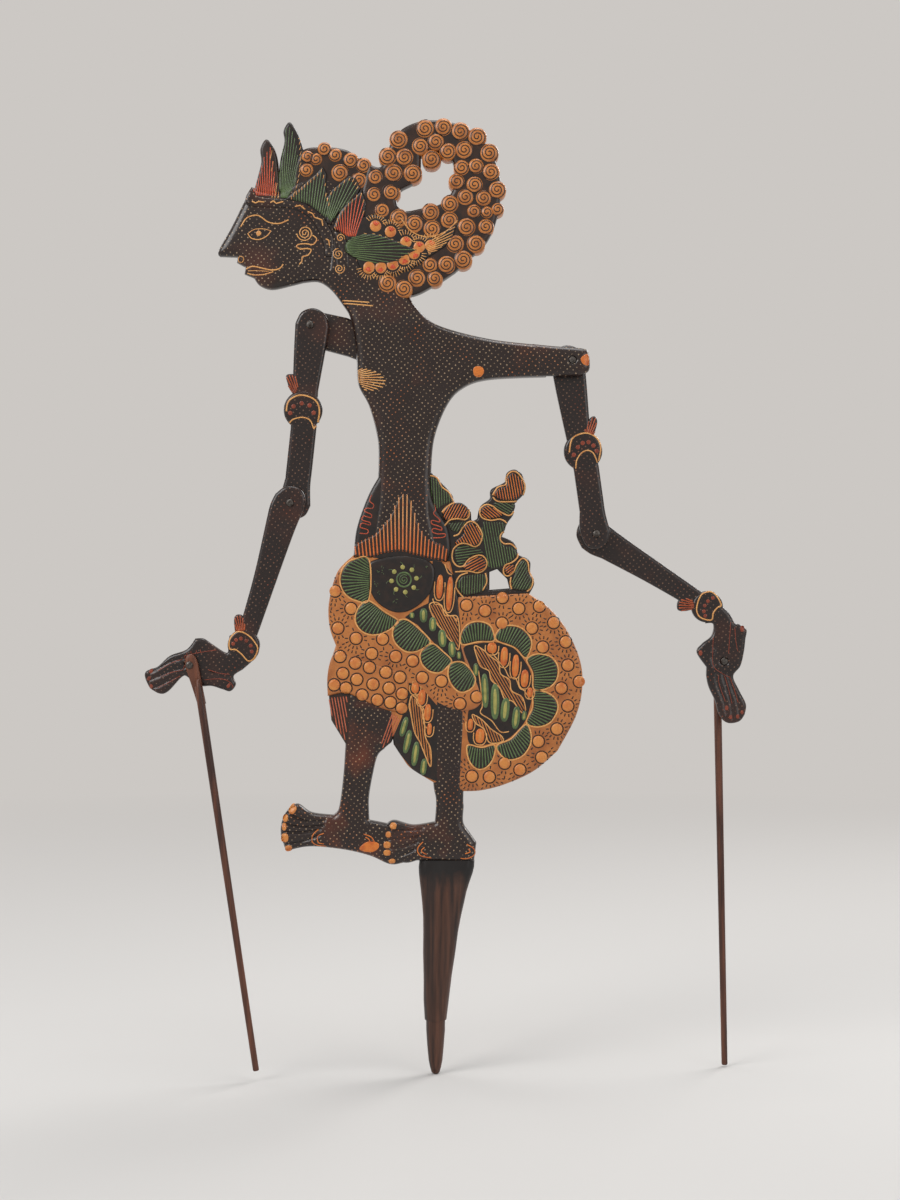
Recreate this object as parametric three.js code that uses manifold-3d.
// A flat carved wooden rod puppet: one carved plank for the figure, a spike handle,
// two-piece arms that turn on riveted nails, and a control rod at each hand.
// Millimetres, +Z up. The front of the figure faces -Y, and the point of the spike is at the origin.
import * as THREE from 'three';
import Module from 'manifold-3d';
import { mergeVertices } from 'three/addons/utils/BufferGeometryUtils.js';

const wasm = await Module();
wasm.setup();

// Clearances
const seatGap = 0.3;
const pinClearance = 0.3;

// Thickness of the wood, front to back
const plankThickness = 16;
const limbThickness = 7;
const edgeRound = 1.1;
const torsoRound = 1.7;

// Height of each part of the figure above the point of the spike, and its place across
const ledgeHeight = 35;
const soleHeight = 138.5;
const trainAboveSole = 110.5;
const waistAboveSole = 249.5;
const chestAboveWaist = 77;
const headAboveChest = 82.5;
const curlAboveChest = 102.5;
const trainAcross = 29;
const waistAcross = -20;
const chestAcross = -30;
const headAcross = -114;
const curlAcross = 8;

// Relief: how far each carved part stands in front of and behind the middle of the plank
const halfPlank = plankThickness / 2;
const faceRelief = 5.6;
const headdressRelief = 6.6;
const leafRelief = 4.6;
const legRelief = 6.4;
const sashRelief = 6.2;
const skirtRelief = 7;
const trainRelief = 6.6;
const bandRelief = 7.5;

// Spike handle
const spigotRadius = 6.2;
const ledgeRadius = 7.15;
const tipRadius = 2.6;
const gripRadius = 11.4;
const gripAboveLedge = 57;
const gripFlare = 6.6;
const topDepthShare = 0.42;
const handleLean = 7.2;
const tenonWidth = 16;
const tenonDepth = 7;
const tenonHeight = 20;

// Arms: length from pin to pin and the way each limb hangs at rest
const shoulderLeft = { across: -51.2, up: 20.4 };
const shoulderRight = { across: 118.7, up: -2.2 };
const upperArmLength = { left: 116.2, right: 113.4 };
const upperArmAngle = { left: 263.9, right: 278.1 };
const forearmLength = { left: 122.3, right: 118.4 };
const forearmAngle = { left: 238.4, right: 315.4 };
const shoulderWidth = 22;
const shoulderOffset = { left: 1.4, right: -2.6 };
const elbowWidth = 19.5;
const elbowOffset = { left: 2.9, right: -0.4 };
const midArmWidth = 16.5;
const armletRadius = 12.6;
const armletShift = { left: 1.4, right: -0.6 };
const armletDrop = { left: 55.6, right: 58.1 };
const forearmTop = { left: 11.2, right: 12.6 };
const wristWidth = 13;
const braceletRadius = 10.4;
const braceletDrop = { left: 93.5, right: 85.5 };
const braceletLean = { left: 22.5, right: 17.5 };

// Control rods
const rodRadius = 2.6;
const rodTipRadius = 2;
const rodLength = { left: 263, right: 266.6 };
const rodAngle = { left: 278.5, right: 271.1 };
const rodShift = { left: 4.1, right: -3.5 };
const paddleShift = { left: 1.3, right: -1.3 };
const paddleWidth = 8.4;
const paddleTop = 7;
const paddleLength = 26;
const paddleThickness = 3.6;

// Riveted nails and their washers
const pinRadius = 1.2;
const headRadius = 2.4;
const headHeight = 0.9;
const tailRadius = 2;
const washerRadius = 3;
const washerThickness = 0.8;

// Layers from front to back, each limb seated a gap from the last
const stubFront = -1;
const stubBack = 7;
const upperLeftBack = stubFront - seatGap;
const upperLeftFront = upperLeftBack - limbThickness;
const foreLeftBack = upperLeftFront - seatGap;
const foreLeftFront = foreLeftBack - limbThickness;
const barBack = 1;
const upperRightFront = barBack + seatGap;
const upperRightBack = upperRightFront + limbThickness;
const foreRightFront = upperRightBack + seatGap;
const foreRightBack = foreRightFront + limbThickness;
const recessDepth = washerThickness + headHeight + 3 * seatGap;
const headRecess = headHeight + seatGap / 3;
const rodOffset = washerThickness + headHeight + 2 * seatGap;

// Stations that the outlines are drawn from
const sole = [0, soleHeight];
const train = [trainAcross, soleHeight + trainAboveSole];
const waist = [waistAcross, soleHeight + waistAboveSole];
const chest = [chestAcross, waist[1] + chestAboveWaist];
const head = [headAcross, chest[1] + headAboveChest];
const curl = [curlAcross, chest[1] + curlAboveChest];

const wood = (color, roughness) => new THREE.MeshStandardMaterial({ color, roughness, metalness: 0 });
const lacquer = wood(0x24120c, 0.35);
const stain = wood(0x3a1a0e, 0.5);
const steel = new THREE.MeshStandardMaterial({ color: 0x3c3a38, roughness: 0.45, metalness: 0.9 });

function toSolid(geometry) {
  const bare = geometry.clone();
  bare.deleteAttribute('normal');
  bare.deleteAttribute('uv');
  const merged = mergeVertices(bare, 1e-4);
  return new wasm.Manifold(new wasm.Mesh({
    numProp: 3,
    vertProperties: new Float32Array(merged.attributes.position.array),
    triVerts: new Uint32Array(merged.index.array),
  }));
}

function toGeometry(solid) {
  const mesh = solid.getMesh();
  const geometry = new THREE.BufferGeometry();
  geometry.setAttribute('position', new THREE.BufferAttribute(mesh.vertProperties, 3));
  geometry.setIndex(new THREE.BufferAttribute(mesh.triVerts, 1));
  return geometry;
}

// Points given from a station, moved to their place in the part
const from = ([across, up], points) => points.map(([x, z]) => [across + x, up + z]);

// A closed outline: each run is a list of corners, or a list of points on a smooth curve
function outline(start, ...runs) {
  const shape = new THREE.Shape();
  shape.moveTo(...start);
  addRuns(shape, runs);
  return shape;
}

function addRuns(path, runs) {
  for (const { corners, curve } of runs) {
    if (curve) path.splineThru(curve.map(([x, z]) => new THREE.Vector2(x, z)));
    if (corners) corners.forEach(([x, z]) => path.lineTo(x, z));
  }
}

function hole(start, ...runs) {
  const path = new THREE.Path();
  path.moveTo(...start);
  addRuns(path, runs);
  return path;
}

// An outline's points without doubles and without points that lie on a straight run
function corners(points) {
  const open = points.filter((point, i) => point.distanceTo(points[(i + 1) % points.length]) > 1e-3);
  return open.filter((point, i) => {
    const before = open[(i + open.length - 1) % open.length];
    const after = open[(i + 1) % open.length];
    const turn = (point.x - before.x) * (after.y - point.y) - (point.y - before.y) * (after.x - point.x);
    return Math.abs(turn) > 1e-4;
  });
}

const turned = (ring, clockwise) => (THREE.ShapeUtils.isClockWise(ring) === clockwise ? ring : ring.reverse());

// A board cut to an outline, between two depths, with its edges rounded over
function board(drawn, front, back, round = edgeRound, steps = 2) {
  const points = drawn.extractPoints(steps);
  const shape = new THREE.Shape(turned(corners(points.shape), false));
  shape.holes = points.holes.map((ring) => new THREE.Path(turned(corners(ring), true)));
  const geometry = new THREE.ExtrudeGeometry(shape, {
    depth: back - front - 2 * round,
    bevelEnabled: round > 0,
    bevelThickness: round,
    bevelSize: round,
    bevelOffset: -round,
    bevelSegments: 1,
  });
  return toSolid(geometry.translate(0, 0, round - back).rotateX(Math.PI / 2));
}

const relief = (shape, depth, round = edgeRound) => board(shape, -depth, depth, round);

function disc(centre, radius, front, back, round = 0, steps = 12) {
  const shape = new THREE.Shape();
  shape.absarc(centre[0], centre[1], radius, 0, 2 * Math.PI, false);
  return board(shape, front, back, round, steps);
}

function box(low, high) {
  const size = high.map((value, axis) => value - low[axis]);
  const geometry = new THREE.BoxGeometry(...size);
  return toSolid(geometry.translate(...low.map((value, axis) => value + size[axis] / 2)));
}

const joined = (solids) => solids.reduce((whole, solid) => whole.add(solid));
const cut = (solid, tools) => tools.reduce((rest, tool) => rest.subtract(tool), solid);
const boreRadius = pinRadius + pinClearance;
const bore = (centre) => disc(centre, boreRadius, -60, 60, 0, 8);

// Places along a limb: across its width and down its length from a pin
function limbFrame([x, z], degrees) {
  const angle = THREE.MathUtils.degToRad(degrees);
  const down = [Math.cos(angle), Math.sin(angle)];
  const across = [-down[1], down[0]];
  return (a, d) => [x + a * across[0] + d * down[0], z + a * across[1] + d * down[1]];
}

function headOutline() {
  return outline(from(head, [[36, -30]])[0],
    { curve: from(head, [[33, -33], [20, -36], [8, -38.5], [0, -36], [-4, -31]]) },
    { corners: from(head, [[-10, -28.5], [-9.5, -24], [-15, -21], [-14.5, -17.5], [-26, -17]]) },
    { curve: from(head, [[-27, -13.5], [-19, 1], [-11, 17], [-5.5, 28]]) },
    { curve: from(head, [[10, 24], [28, 34], [46, 34], [62, 26], [64, -2], [52, -20]]) });
}

function neckOutline() {
  return outline(from(head, [[27, -33.5]])[0],
    { curve: from(chest, [[-45, 49], [-38, 44], [-30.5, 34.5], [-25.5, 26]]) },
    { corners: from(chest, [[0, 10], [20, 28.5], [-10, 66], [-40, 66]]) });
}

function frontLeaf() {
  return outline(from(head, [[-4, 24]])[0],
    { curve: from(head, [[-1, 35], [1, 44], [0.5, 52.5], [4.5, 58.5]]) },
    { curve: from(head, [[9.5, 52.5], [11.5, 46]]) },
    { corners: from(head, [[14, 22]]) });
}

function tallLeaf() {
  return outline(from(head, [[12, 24]])[0],
    { curve: from(head, [[13, 42], [16, 56.5], [15.5, 64], [19.5, 69.5]]) },
    { curve: from(head, [[24.5, 63], [28, 54], [30, 44], [30, 24]]) });
}

function hairCap() {
  return outline(from(head, [[20, 18]])[0],
    { curve: from(head, [[22, 40], [28, 52.5], [41, 54.5], [56.5, 52.5], [69, 44], [80, 39]]) },
    { curve: from(head, [[84, 20], [80, 0], [70, -22], [56, -20], [40, 6]]) });
}

function hairCurl() {
  const shape = outline(from(curl, [[-52, 24]])[0],
    { curve: from(curl, [[-43.5, 22], [-39, 37], [-30, 47], [-17.5, 52], [-4, 52.5], [9, 49.5], [24, 40]]) },
    { curve: from(curl, [[32.5, 26], [36.5, 8], [34.5, -10.5], [27.5, -28], [17, -39], [5.5, -49.5]]) },
    { curve: from(curl, [[-8.5, -58], [-24.5, -64.5], [-44, -60], [-56, -50], [-62, -20]]) });
  shape.holes.push(hole(from(curl, [[-17.5, 28.5]])[0],
    { curve: from(curl, [[-7.5, 30], [1.5, 27], [4.5, 16], [2.5, 4.5], [-5, -3.5], [-18, -6.5]]) },
    { curve: from(curl, [[-28, -8], [-33, -3], [-31, 5], [-22, 10.5], [-18, 18], [-17.5, 28.5]]) }));
  return shape;
}

function wingOrnament() {
  return outline(from(head, [[67, 6]])[0],
    { curve: from(head, [[78, 6], [92, 0], [104, -6], [116, -5], [128, 4]]) },
    { curve: from(head, [[122, -8], [112, -17], [98, -26], [79, -30], [66, -24]]) });
}

function torsoOutline() {
  return outline(from(chest, [[-36, 38]])[0],
    { curve: from(chest, [[-27.5, 26], [-22.5, 12], [-21, -4], [-20, -18], [-13, -32], [-7.5, -53.5]]) },
    { corners: [...from(chest, [[-7, -78]]), ...from(waist, [[17, -1]])] },
    { curve: from(chest, [[29, -53.5], [37, -32], [47, -20.5], [64, -14.5], [105.5, -12.5], [130, -12.5]]) },
    { corners: from(chest, [[130, 5]]) },
    { curve: from(chest, [[105.5, 7], [65.5, 11.5], [33, 20], [20, 29.5], [8, 46]]) },
    { corners: from(chest, [[-22, 52]]) });
}

function shoulderStub() {
  const reach = [shoulderLeft.across, shoulderLeft.up];
  const [x, z] = from(chest, [reach])[0];
  return outline([x + 3, z + 10],
    { corners: [...from(chest, [[-27.5, 26], [-14, 20], [-14, -4], [-27, 1], [-42, 5]]), [x + 3, z - 10]] },
    { curve: [[x - 6, z - 7.5], [x - 9.5, z], [x - 6, z + 7.5], [x + 3, z + 10]] });
}

function sashOutline() {
  const shape = outline(from(waist, [[10, 8]])[0],
    { curve: from(waist, [[16.5, 3], [30, -11], [32.5, -17], [42, -22], [43.5, -29], [47, -28]]) },
    { curve: from(waist, [[49, -20], [55, -15], [56, -9], [65, -4], [66, 1.5], [71, 4], [76, 1.5]]) },
    { curve: from(waist, [[78, -5], [77, -12], [71.5, -18], [70.5, -25], [66.5, -31], [63, -39.5]]) },
    { curve: from(waist, [[71, -43.5], [74, -51], [81, -55], [81.5, -63], [84, -70], [80, -78]]) },
    { corners: from(waist, [[50, -92], [10, -60]]) });
  shape.holes.push(hole(from(waist, [[55, -62.5]])[0],
    { corners: from(waist, [[60, -60.5], [66.5, -67], [68, -73], [55, -74], [55, -62.5]]) }));
  return shape;
}

function hipsOutline() {
  return outline(from(waist, [[-17, -1]])[0],
    { curve: from(waist, [[-24, -14], [-31, -34], [-33, -51.5]]) },
    { corners: from(waist, [[-20, -62], [34, -66]]) },
    { curve: from(waist, [[28, -50], [20, -26], [17, 2]]) },
    { corners: from(waist, [[0, 12], [-17, 8]]) });
}

function skirtOutline() {
  return outline(from(train, [[-82, 87.5]])[0],
    { curve: from(train, [[-92.5, 76.5], [-98, 57], [-97.5, 41], [-93.5, 29], [-98, 15], [-99, -8]]) },
    { corners: from(train, [[-96.5, -19.5], [-70, -16], [-57, -36], [-44.5, -50], [-30, -60]]) },
    { corners: from(train, [[-12, -62], [-20, 0], [0, 60], [-20, 90], [-50, 97]]) });
}

function trainOutline() {
  return outline(from(train, [[-24, 60]])[0],
    { corners: from(train, [[31, 63]]) },
    { curve: from(train, [[46, 52], [57, 37.5], [65, 18], [66, 0], [61.5, -18], [50, -39.5]]) },
    { curve: from(train, [[34.5, -52.5], [16, -61], [0.5, -65], [-12, -65.5]]) },
    { corners: from(train, [[-30, -60], [-60, -30], [-60, 30]]) });
}

function frontLeg() {
  return outline(from(train, [[-96, -16]])[0],
    { corners: [...from(train, [[-86.5, -36]]), ...from(sole, [[-59.5, 52], [-62.5, 36.5]])] },
    { curve: from(sole, [[-68, 29], [-80.5, 31], [-90, 36.5], [-98, 30], [-100.5, 18], [-97, 6]]) },
    { curve: from(sole, [[-81.5, 9], [-59.5, 7], [-42.5, 3], [-29.5, -2.5], [-20.5, -1.5], [-12, 0]]) },
    { corners: from(sole, [[-12, 20], [-43, 26], [-44, 30]]) },
    { corners: from(train, [[-67.5, -43.5], [-57.5, -34], [-52, -10]]) });
}

function backLeg() {
  return outline(from(train, [[-28, -40]])[0],
    { corners: [...from(train, [[-29.5, -61]]), ...from(sole, [[0, 30], [-8, 23], [-27, 24]])] },
    { curve: from(sole, [[-33, 16], [-31, 4], [-20.5, -1.5], [-12, 0]]) },
    { corners: from(sole, [[25, -0.5], [26.5, 11.5]]) },
    { curve: from(sole, [[22, 18], [18, 24.5], [18.5, 45.5]]) },
    { corners: from(train, [[-8, -20]]) });
}

function mortise() {
  const half = tenonWidth / 2 + seatGap;
  const depth = tenonDepth / 2 + seatGap;
  return box([handleLean - half, -depth, sole[1] - 6], [handleLean + half, depth, sole[1] + tenonHeight + seatGap]);
}

function bodyPlank() {
  const stub = from(chest, [[shoulderLeft.across, shoulderLeft.up]])[0];
  const bar = from(chest, [[shoulderRight.across, shoulderRight.up]])[0];
  const figure = joined([
    relief(headOutline(), faceRelief),
    relief(neckOutline(), headdressRelief),
    relief(frontLeaf(), leafRelief),
    relief(tallLeaf(), leafRelief),
    relief(hairCap(), headdressRelief),
    relief(hairCurl(), halfPlank),
    relief(wingOrnament(), bandRelief),
    relief(torsoOutline(), halfPlank, torsoRound),
    board(shoulderStub(), stubFront, stubBack),
    relief(sashOutline(), sashRelief),
    relief(hipsOutline(), skirtRelief),
    relief(skirtOutline(), skirtRelief),
    relief(trainOutline(), trainRelief),
    relief(frontLeg(), legRelief),
    relief(backLeg(), skirtRelief),
  ]);
  const low = bar[1] - 40;
  const high = bar[1] + 40;
  const barRecess = box([bar[0] - 17, barBack, low], [bar[0] + 40, halfPlank + 5, high]);
  return cut(figure, [bore(stub), bore(bar), barRecess, mortise()]);
}

// A turned spike, flattened front to back towards its top and leaning to the heel
function handleSolid() {
  const top = soleHeight - seatGap - 1;
  const profile = [
    [0, 0], [tipRadius, 0], [tipRadius + 1.9, 8.5], [spigotRadius, ledgeHeight - 6],
    [spigotRadius, ledgeHeight], [ledgeRadius, ledgeHeight],
    [gripRadius, ledgeHeight + gripAboveLedge],
    [gripRadius + gripFlare * 0.45, top - 22],
    [gripRadius + gripFlare, top - 6],
    [gripRadius + gripFlare, top], [0, top],
  ];
  const turned = new THREE.LatheGeometry(profile.map(([r, z]) => new THREE.Vector2(r, z)), 24);
  turned.rotateX(Math.PI / 2);
  const place = turned.attributes.position;
  for (let i = 0; i < place.count; i += 1) {
    const up = Math.max(0, place.getZ(i) - ledgeHeight) / (top - ledgeHeight);
    place.setX(i, place.getX(i) + handleLean * up ** 1.3);
    place.setY(i, place.getY(i) * (1 - (1 - topDepthShare) * up ** 1.2));
  }
  const half = tenonWidth / 2;
  const tenon = box([handleLean - half, -tenonDepth / 2, top - 4],
    [handleLean + half, tenonDepth / 2, sole[1] + tenonHeight]);
  return toSolid(turned).add(tenon);
}

function upperArm(side, shoulder, front, back) {
  const length = upperArmLength[side];
  const at = limbFrame(shoulder, upperArmAngle[side]);
  const top = shoulderWidth / 2;
  const mid = midArmWidth / 2;
  const end = elbowWidth / 2;
  const drop = armletDrop[side];
  const high = shoulderOffset[side];
  const low = elbowOffset[side];
  const bar = outline(at(high - top, 0),
    { curve: [at(high - top * 0.7, -top * 0.7), at(high, -top), at(high + top * 0.7, -top * 0.7), at(high + top, 0)] },
    { corners: [at(high + mid, drop - 14), at(low + mid, drop + 12), at(low + mid, length - 12)] },
    { curve: [at(low + end, length), at(low + end * 0.7, length + end * 0.7), at(low, length + end)] },
    { curve: [at(low - end * 0.7, length + end * 0.7), at(low - end, length - 4), at(low - mid, length - 16)] },
    { corners: [at(low - mid, drop + 12), at(high - mid, drop - 14)] });
  const leaf = side === 'left' ? -1 : 1;
  const tuft = outline(at(leaf * 4, drop - 8),
    { corners: [at(leaf * 4, drop - 22), at(leaf * 11, drop - 21.5), at(leaf * 10, drop - 10)] });
  return joined([board(bar, front, back), board(tuft, front + 1, back - 1, 0.5),
    disc(at(armletShift[side], drop), armletRadius, front, back, edgeRound)]);
}

function forearmBar(side, elbow, front, back) {
  const at = limbFrame(elbow, forearmAngle[side]);
  const top = forearmTop[side];
  const narrow = elbowWidth / 2;
  const wrist = wristWidth / 2;
  const drop = braceletDrop[side];
  const lean = braceletLean[side];
  const near = lean * (drop - 12) / drop;
  const bar = outline(at(-top, 0),
    { curve: [at(-top * 0.7, -top * 0.7), at(0, -top), at(narrow * 0.7, -narrow * 0.8), at(narrow, 0)] },
    { corners: [at(near + wrist, drop - 12), at(lean + wrist, drop + 2)] },
    { corners: [at(lean - wrist, drop + 2), at(near - wrist, drop - 12), at(-narrow * 0.86, 14)] });
  const tuft = outline(at(near, drop - 8),
    { corners: [at(near, drop - 17), at(lean - 12, drop - 16), at(lean - 14, drop - 9)] });
  return [board(bar, front, back), board(tuft, front + 1, back - 1, 0.5),
    disc(at(lean, drop), braceletRadius, front, back, edgeRound)];
}

function leftHand(hand, front, back) {
  const at = limbFrame(hand, forearmAngle.left);
  const shape = outline(at(8, -34),
    { corners: [at(28, -36), at(33.6, -28.5), at(30.2, -15)] },
    { curve: [at(27.2, -8.4), at(31.6, -4.5), at(30.9, 1.1), at(26, 2.5), at(19, 4.5), at(14.5, 7.5)] },
    { curve: [at(9, 9.3), at(2.8, 7.6), at(-0.6, 9.3), at(-3.3, 22), at(-7.1, 26.4), at(-14.4, 26.8)] },
    { curve: [at(-20.5, 22.5), at(-22.4, 18.5), at(-17.5, 12), at(-14.5, 2.2), at(-7.5, -7), at(-6.5, -16)] },
    { corners: [at(-1.8, -19), at(5, -18.8), at(14.6, -18.4), at(16, -20.5), at(11.4, -29)] });
  return board(shape, front, back);
}

function rightHand(hand, front, back) {
  const at = limbFrame(hand, forearmAngle.right);
  const shape = outline(at(9, -26),
    { curve: [at(12.5, -22), at(6, -17.3), at(-2, -18.4), at(-8.5, -17), at(-10.9, -5.4), at(-15.2, -1.2)] },
    { curve: [at(-19.2, 5), at(-22.6, 14), at(-27.5, 22.5), at(-27.5, 30), at(-21.3, 35), at(-15.5, 34.5)] },
    { curve: [at(-10, 30), at(-6.5, 20), at(-2.8, 11.3), at(5.2, 9.9), at(13.5, 5), at(20.3, -0.3)] },
    { curve: [at(25.2, -4), at(24.5, -9.5), at(22.8, -12.5), at(25, -20), at(24.8, -27)] },
    { corners: [at(22, -36)] });
  return board(shape, front, back);
}

// The flattened top of a rod takes the nail, and its round shaft hangs a little clear of the arm
function rod(side, hand, seat, outward) {
  const at = limbFrame(hand, rodAngle[side]);
  const half = paddleWidth / 2;
  const mid = paddleShift[side];
  const low = rodShift[side];
  const bend = half * 0.7;
  const rise = -paddleTop * 0.7;
  const paddle = outline(at(mid - half, 0),
    { curve: [at(mid - bend, rise), at(mid, -paddleTop), at(mid + bend, rise), at(mid + half, 0)] },
    { corners: [at(low + rodRadius, paddleLength), at(low - rodRadius, paddleLength)] });
  const faces = [seat, seat + outward * paddleThickness].sort((a, b) => a - b);
  const start = at(low, paddleLength * 0.55);
  const end = at(low, rodLength[side]);
  const axisDepth = seat + outward * (rodOffset + rodRadius);
  const reach = Math.hypot(end[0] - start[0], end[1] - start[1]);
  const shaft = new THREE.CylinderGeometry(rodRadius, rodTipRadius, reach, 12, 1);
  shaft.rotateX(Math.PI / 2);
  const way = THREE.MathUtils.degToRad(rodAngle[side]);
  shaft.rotateY(-way - Math.PI / 2);
  shaft.translate((start[0] + end[0]) / 2, axisDepth, (start[1] + end[1]) / 2);
  return board(paddle, faces[0], faces[1], 0.5).add(toSolid(shaft));
}

// A nail along Y: domed head outside the first piece, riveted tail outside the washer
function pinSolid([x, z], headFace, tailFace) {
  const outward = Math.sign(headFace - tailFace);
  const span = Math.abs(headFace - tailFace);
  const profile = [
    [0, -headHeight], [tailRadius * 0.7, -headHeight], [tailRadius, -headHeight * 0.4], [tailRadius, 0],
    [pinRadius, 0], [pinRadius, span], [headRadius, span], [headRadius * 0.8, span + headHeight * 0.65],
    [headRadius * 0.4, span + headHeight], [0, span + headHeight],
  ];
  const turned = new THREE.LatheGeometry(profile.map(([r, y]) => new THREE.Vector2(r, y)), 16);
  if (outward < 0) turned.rotateX(Math.PI);
  return toSolid(turned.translate(x, tailFace, z));
}

function washerSolid([x, z], front) {
  const shape = new THREE.Shape();
  shape.absarc(x, z, washerRadius, 0, 2 * Math.PI, false);
  shape.holes.push(new THREE.Path().absarc(x, z, boreRadius, 0, 2 * Math.PI, false));
  return board(shape, front, front + washerThickness, 0, 9);
}

const puppet = new THREE.Group();

function addPiece(name, solid, material) {
  const mesh = new THREE.Mesh(toGeometry(solid), material);
  mesh.name = name;
  puppet.add(mesh);
}

const pivots = {};
for (const [side, place] of [['left', shoulderLeft], ['right', shoulderRight]]) {
  const shoulder = from(chest, [[place.across, place.up]])[0];
  const elbow = limbFrame(shoulder, upperArmAngle[side])(0, upperArmLength[side]);
  const hand = limbFrame(elbow, forearmAngle[side])(0, forearmLength[side]);
  pivots[side] = { shoulder, elbow, hand };
}

const { left, right } = pivots;
const counterbore = (centre, front, back) => disc(centre, washerRadius + seatGap, front, back, 0, 9);
const headPocket = (centre, front, back) => disc(centre, headRadius + seatGap, front, back, 0, 9);

const armLeft = upperArm('left', left.shoulder, upperLeftFront, upperLeftBack);
const armRight = upperArm('right', right.shoulder, upperRightFront, upperRightBack);
const foreLeft = joined([...forearmBar('left', left.elbow, foreLeftFront, foreLeftBack),
  leftHand(left.hand, foreLeftFront, foreLeftBack)]);
const foreRight = joined([...forearmBar('right', right.elbow, foreRightFront, foreRightBack),
  rightHand(right.hand, foreRightFront, foreRightBack)]);
const leftTailSeat = foreLeftBack - recessDepth;
const rightHeadSeat = foreRightFront + headRecess;
const barHeadSeat = headRecess - halfPlank;
const rodLeftSeat = foreLeftFront - seatGap;
const rodRightSeat = foreRightBack + seatGap;
const rodLeftFace = rodLeftSeat - paddleThickness;
const rodRightFace = rodRightSeat + paddleThickness;

addPiece('body_plank', cut(bodyPlank(), [headPocket(right.shoulder, -halfPlank - 5, barHeadSeat)]), lacquer);
addPiece('handle', handleSolid(), stain);
addPiece('upper_arm_left', cut(armLeft, [bore(left.shoulder), bore(left.elbow)]), lacquer);
addPiece('upper_arm_right', cut(armRight, [bore(right.shoulder), bore(right.elbow)]), lacquer);
addPiece('forearm_left', cut(foreLeft, [bore(left.elbow), bore(left.hand),
  counterbore(left.hand, leftTailSeat, foreLeftBack + 5)]), lacquer);
addPiece('forearm_right', cut(foreRight, [bore(right.elbow), bore(right.hand),
  headPocket(right.hand, foreRightFront - 5, rightHeadSeat)]), lacquer);
addPiece('rod_left', cut(rod('left', left.hand, rodLeftSeat, -1), [bore(left.hand)]), stain);
addPiece('rod_right', cut(rod('right', right.hand, rodRightSeat, 1), [bore(right.hand)]), stain);

// Each nail holds a stack of pieces between the seat of its head and the seat of its washer
const stacks = {
  shoulder_left: [left.shoulder, upperLeftFront, stubBack],
  shoulder_right: [right.shoulder, barHeadSeat, upperRightBack],
  elbow_left: [left.elbow, foreLeftFront, upperLeftBack],
  elbow_right: [right.elbow, upperRightFront, foreRightBack],
  hand_left: [left.hand, rodLeftFace, leftTailSeat],
  hand_right: [right.hand, rightHeadSeat, rodRightFace],
};
for (const [place, [centre, headSeat, washerSeat]] of Object.entries(stacks)) {
  const washerFront = washerSeat + seatGap;
  const [joint, side] = place.split('_');
  addPiece(`${joint}_washer_${side}`, washerSolid(centre, washerFront), steel);
  const tailFace = washerFront + washerThickness + seatGap;
  addPiece(`${joint}_pin_${side}`, pinSolid(centre, headSeat - seatGap, tailFace), steel);
}

export default puppet;
